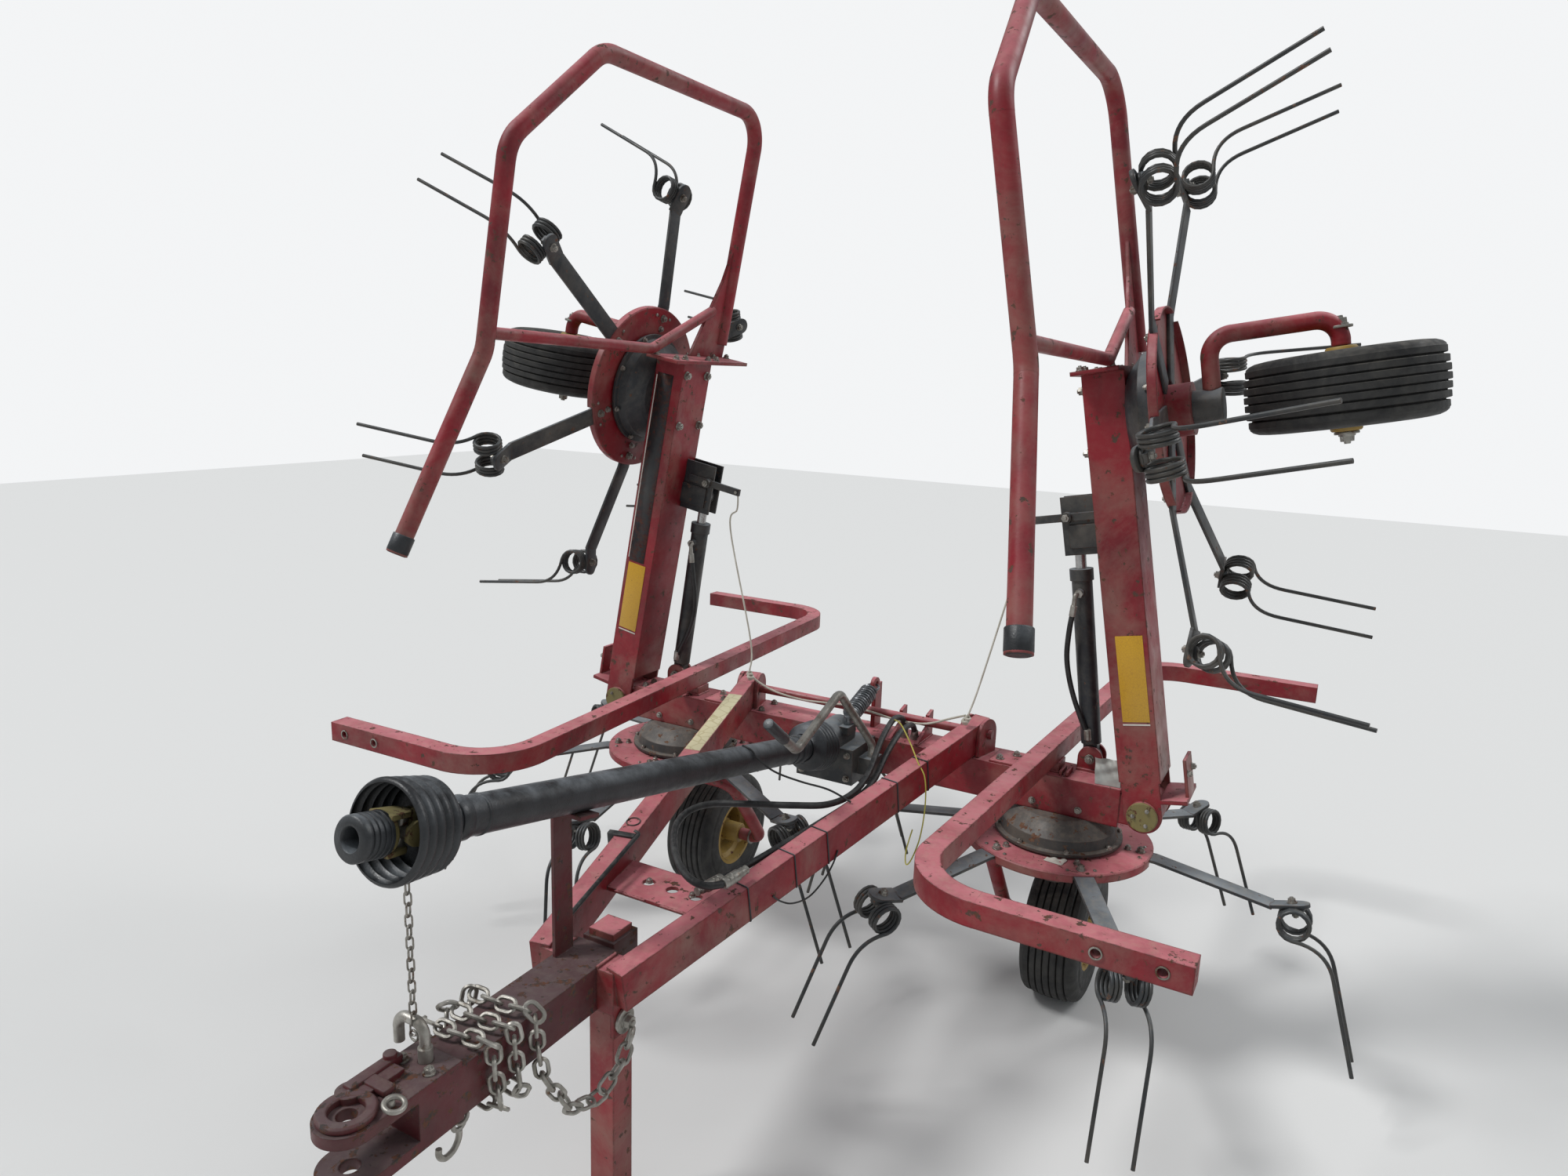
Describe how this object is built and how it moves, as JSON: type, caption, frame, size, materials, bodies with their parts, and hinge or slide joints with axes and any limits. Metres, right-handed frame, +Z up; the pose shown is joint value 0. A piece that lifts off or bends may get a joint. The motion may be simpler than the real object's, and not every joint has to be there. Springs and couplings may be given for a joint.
{
  "type": "rotary hay rake",
  "caption": "Towed rotary hay tedder folded for the road: spring-tine rotors on two raised wings and a crossbeam, with drawbar, drive shaft and stand.",
  "frame": {"origin": "on the ground, under the middle of the outline", "axes": "+Z up, -Y the towing direction with the tongue, +X to the right seen from the front"},
  "size_m": [2.6877, 2.81, 2.5093],
  "materials": {
    "red_paint": "faded satin paint",
    "black_paint": "worn satin paint",
    "spring_steel": "black painted spring wire",
    "bare_steel": "dull, weathered",
    "yellow_paint": "faded",
    "tyre": "matt, dusty",
    "black_plastic": "matt",
    "hose_rubber": "matt"
  },
  "bodies": {
    "frame": {"crossbeam": "red_paint", "gearbox": "black_paint", "a_frame": "red_paint", "tongue": "red_paint", "hitch_pin": "bare_steel", "inner_guards": "red_paint", "inner_housings": "black_paint", "inner_legs": "red_paint", "balance_spring": "black_paint", "crank_handle": "bare_steel", "pto_guard": "black_plastic", "safety_chain": "bare_steel", "hoses": "hose_rubber"},
    "stand": {"stand_leg": "red_paint"},
    "drive_shaft": {"pto_yoke": "yellow_paint"},
    "wing_right": {"wing_beam_right": "red_paint", "wing_guard_right": "red_paint", "wing_housing_right": "black_paint", "wing_leg_right": "red_paint", "latch_right": "black_paint"},
    "barrel_right": {"barrel_right": "black_paint"},
    "rod_right": {"rod_right": "bare_steel"},
    "rotor_inner_right": {"disc_inner_right": "red_paint", "tines_inner_right": "spring_steel"},
    "wheel_inner_right": {"tyre_inner_right": "tyre", "rim_inner_right": "yellow_paint"},
    "rotor_outer_right": {"disc_outer_right": "red_paint", "tines_outer_right": "spring_steel"},
    "wheel_outer_right": {"tyre_outer_right": "tyre", "rim_outer_right": "yellow_paint"},
    "wing_left": {"wing_beam_left": "red_paint", "wing_guard_left": "red_paint", "wing_housing_left": "black_paint", "wing_leg_left": "red_paint", "latch_left": "black_paint"},
    "barrel_left": {"barrel_left": "black_paint"},
    "rod_left": {"rod_left": "bare_steel"},
    "rotor_inner_left": {"disc_inner_left": "red_paint", "tines_inner_left": "spring_steel"},
    "wheel_inner_left": {"tyre_inner_left": "tyre", "rim_inner_left": "yellow_paint"},
    "rotor_outer_left": {"disc_outer_left": "red_paint", "tines_outer_left": "spring_steel"},
    "wheel_outer_left": {"tyre_outer_left": "tyre", "rim_outer_left": "yellow_paint"}
  },
  "joints": [
    {"name": "wing_fold_right", "type": "hinge", "parent": "frame", "child": "wing_right", "pos_m": [0.82, 0.395, 0.7], "axis": [0, 1, 0], "range_deg": [0, 100.5]},
    {"name": "barrel_swing_right", "type": "hinge", "parent": "frame", "child": "barrel_right", "pos_m": [0.66, 0.445, 0.785], "axis": [0, 1, 0], "range_deg": [0, 96.05]},
    {"name": "rod_slide_right", "type": "slide", "parent": "barrel_right", "child": "rod_right", "axis": [-0.1456, 0, 0.9893], "range_m": [0, 0.2735]},
    {"name": "rotor_spin_inner_right", "type": "hinge", "parent": "frame", "child": "rotor_inner_right", "pos_m": [0.6, 0.395, 0.573], "axis": [0, 0, 1], "continuous": true},
    {"name": "rotor_spin_outer_right", "type": "hinge", "parent": "wing_right", "child": "rotor_outer_right", "pos_m": [0.76628, 0.395, 1.68673], "axis": [-0.9833, 0, -0.1822], "continuous": true},
    {"name": "wheel_spin_inner_right", "type": "hinge", "parent": "frame", "child": "wheel_inner_right", "pos_m": [0.6, 0.595, 0.206], "axis": [1, 0, 0], "continuous": true},
    {"name": "wheel_spin_outer_right", "type": "hinge", "parent": "wing_right", "child": "wheel_outer_right", "pos_m": [1.12714, 0.455, 1.75361], "axis": [-0.1822, 0, 0.9833], "continuous": true},
    {"name": "wing_fold_left", "type": "hinge", "parent": "frame", "child": "wing_left", "pos_m": [-0.82, 0.395, 0.7], "axis": [0, -1, 0], "range_deg": [0, 100.5]},
    {"name": "barrel_swing_left", "type": "hinge", "parent": "frame", "child": "barrel_left", "pos_m": [-0.66, 0.445, 0.785], "axis": [0, -1, 0], "range_deg": [0, 96.05]},
    {"name": "rod_slide_left", "type": "slide", "parent": "barrel_left", "child": "rod_left", "axis": [0.1456, 0, 0.9893], "range_m": [0, 0.2735]},
    {"name": "rotor_spin_inner_left", "type": "hinge", "parent": "frame", "child": "rotor_inner_left", "pos_m": [-0.6, 0.395, 0.573], "axis": [0, 0, 1], "continuous": true},
    {"name": "rotor_spin_outer_left", "type": "hinge", "parent": "wing_left", "child": "rotor_outer_left", "pos_m": [-0.76628, 0.395, 1.68673], "axis": [0.9833, 0, -0.1822], "continuous": true},
    {"name": "wheel_spin_inner_left", "type": "hinge", "parent": "frame", "child": "wheel_inner_left", "pos_m": [-0.6, 0.595, 0.206], "axis": [1, 0, 0], "continuous": true},
    {"name": "wheel_spin_outer_left", "type": "hinge", "parent": "wing_left", "child": "wheel_outer_left", "pos_m": [-1.12714, 0.455, 1.75361], "axis": [0.1822, 0, 0.9833], "continuous": true},
    {"name": "stand_slide", "type": "slide", "parent": "frame", "child": "stand", "axis": [0, 0, 1], "range_m": [0, 0.2]},
    {"name": "drive_shaft_spin", "type": "hinge", "parent": "frame", "child": "drive_shaft", "pos_m": [0, -1.205, 1.055], "axis": [0, -0.9783, 0.207], "continuous": true}
  ],
  "couplings": [
    {"joint": "barrel_swing_right", "follows": "wing_fold_right", "ratio": 0.95563},
    {"joint": "rod_slide_right", "follows": "wing_fold_right", "m_per_rad": 0.15566},
    {"joint": "barrel_swing_left", "follows": "wing_fold_left", "ratio": 0.95563},
    {"joint": "rod_slide_left", "follows": "wing_fold_left", "m_per_rad": 0.15566},
    {"joint": "rotor_spin_inner_left", "follows": "rotor_spin_inner_right", "ratio": -1},
    {"joint": "rotor_spin_outer_right", "follows": "rotor_spin_inner_right", "ratio": -1},
    {"joint": "rotor_spin_outer_left", "follows": "rotor_spin_inner_right", "ratio": 1},
    {"joint": "drive_shaft_spin", "follows": "rotor_spin_inner_right", "ratio": 3}
  ]
}
